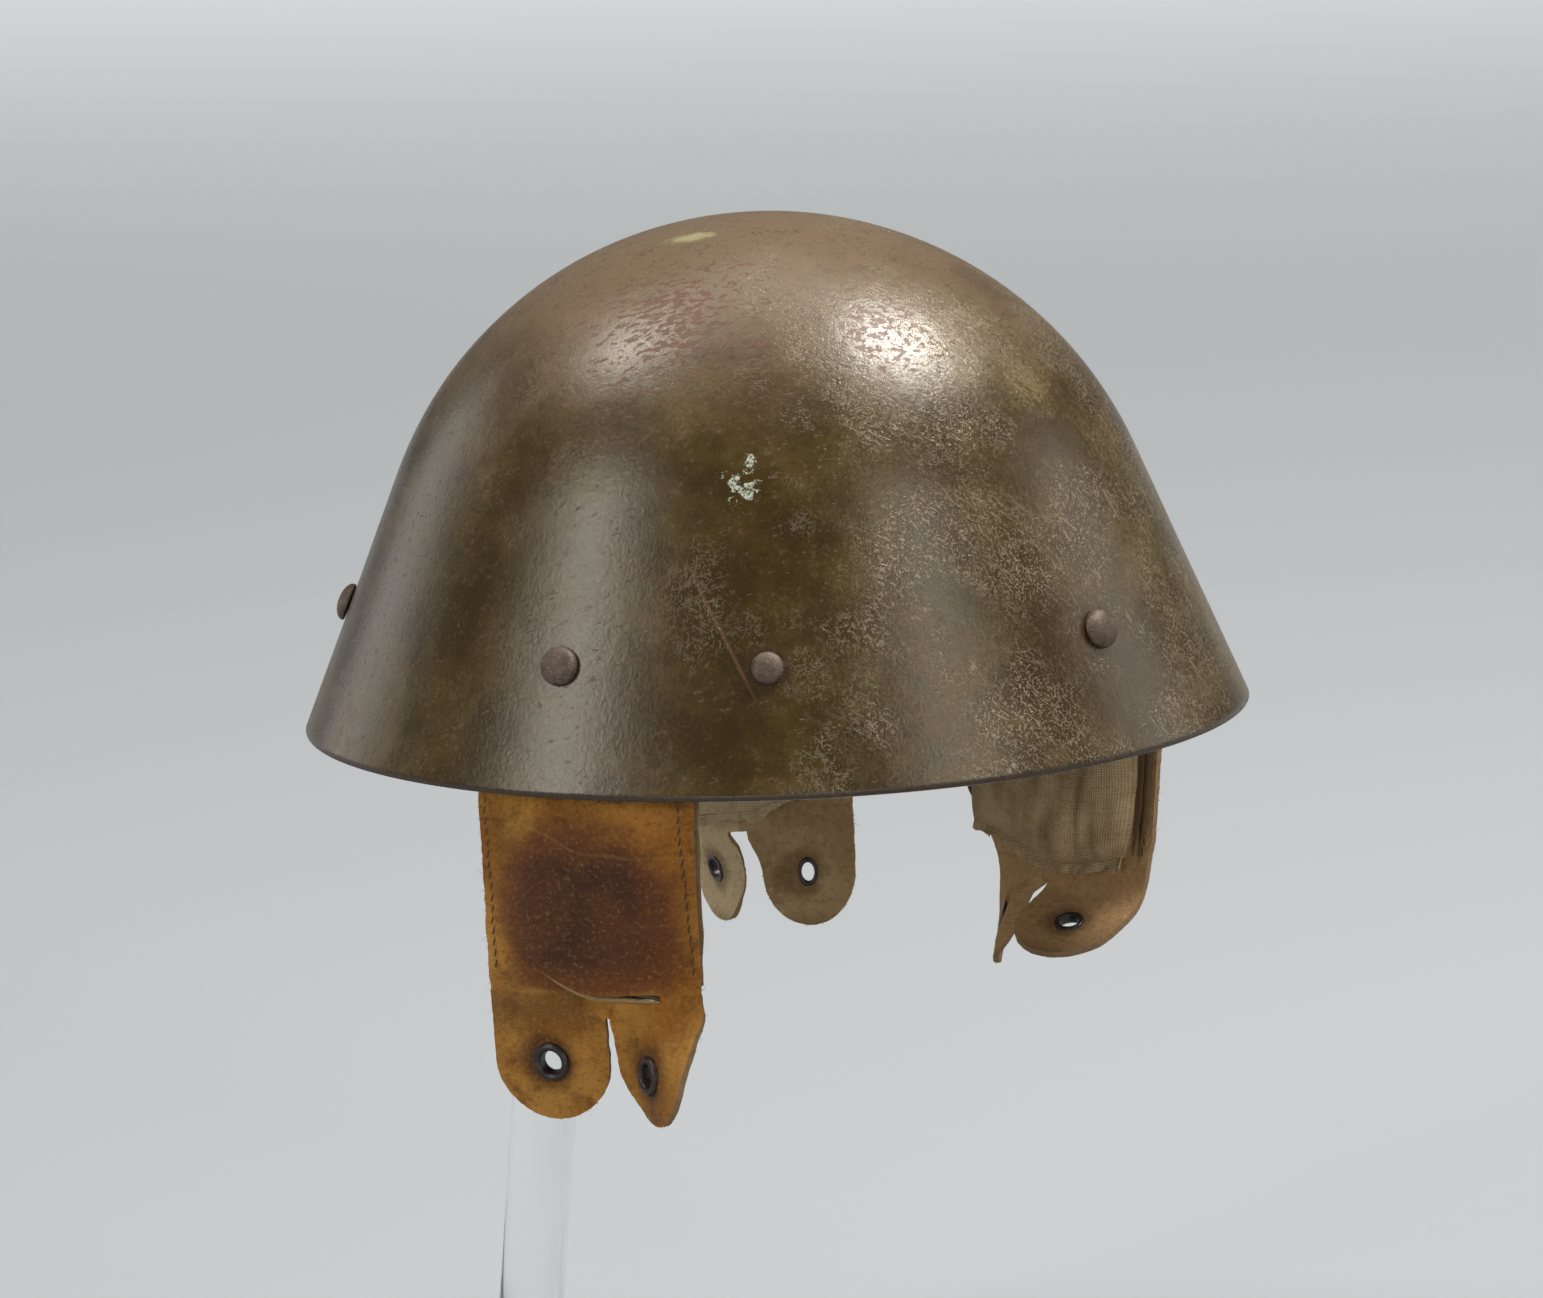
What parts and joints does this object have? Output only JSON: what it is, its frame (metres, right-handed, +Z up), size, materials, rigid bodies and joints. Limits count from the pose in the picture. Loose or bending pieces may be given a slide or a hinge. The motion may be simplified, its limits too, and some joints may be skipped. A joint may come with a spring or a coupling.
{
  "type": "steel combat helmet on a display stand",
  "caption": "Domed steel combat helmet with a flared wall, domed rivets and hanging leather pads with padded cloth pockets and lobed ends, on a clear leaning post with a base plate.",
  "frame": {"origin": "on the underside of the stand's base, below the middle of the helmet's rim", "axes": "+Z up, +X to the helmet's front, +Y to the wearer's left"},
  "size_m": [0.284, 0.2681, 0.3847],
  "materials": {
    "worn_paint": "worn olive-brown paint with rust and scratches",
    "rivet_steel": "dark brown worn steel",
    "band_leather": "matt brown leather",
    "pad_leather": "orange-tan leather, suede on the inner side, dark stains",
    "cushion_cloth": "brown-beige linen weave",
    "black_enamel": "glossy black enamel",
    "clear_acrylic": "clear polished plastic"
  },
  "bodies": {
    "root": {"shell": "worn_paint", "rivet_rear": "rivet_steel", "rivet_right_rear": "rivet_steel", "rivet_right_front": "rivet_steel", "rivet_left_front": "rivet_steel", "rivet_left_rear": "rivet_steel", "strap_rivet_right": "rivet_steel", "strap_rivet_left": "rivet_steel", "liner_band": "band_leather", "right_pad_leather": "pad_leather", "right_pad_cushion": "cushion_cloth", "right_pad_eyelet_flat": "black_enamel", "right_pad_eyelet_twisted": "black_enamel", "left_pad_leather": "pad_leather", "left_pad_cushion": "cushion_cloth", "left_pad_eyelet_flat": "black_enamel", "left_pad_eyelet_twisted": "black_enamel", "front_pad_leather": "pad_leather", "front_pad_cushion": "cushion_cloth", "front_pad_eyelet_flat": "black_enamel", "front_pad_eyelet_twisted": "black_enamel", "stand_base": "clear_acrylic", "stand_post": "clear_acrylic", "stand_cap": "clear_acrylic"}
  },
  "joints": []
}
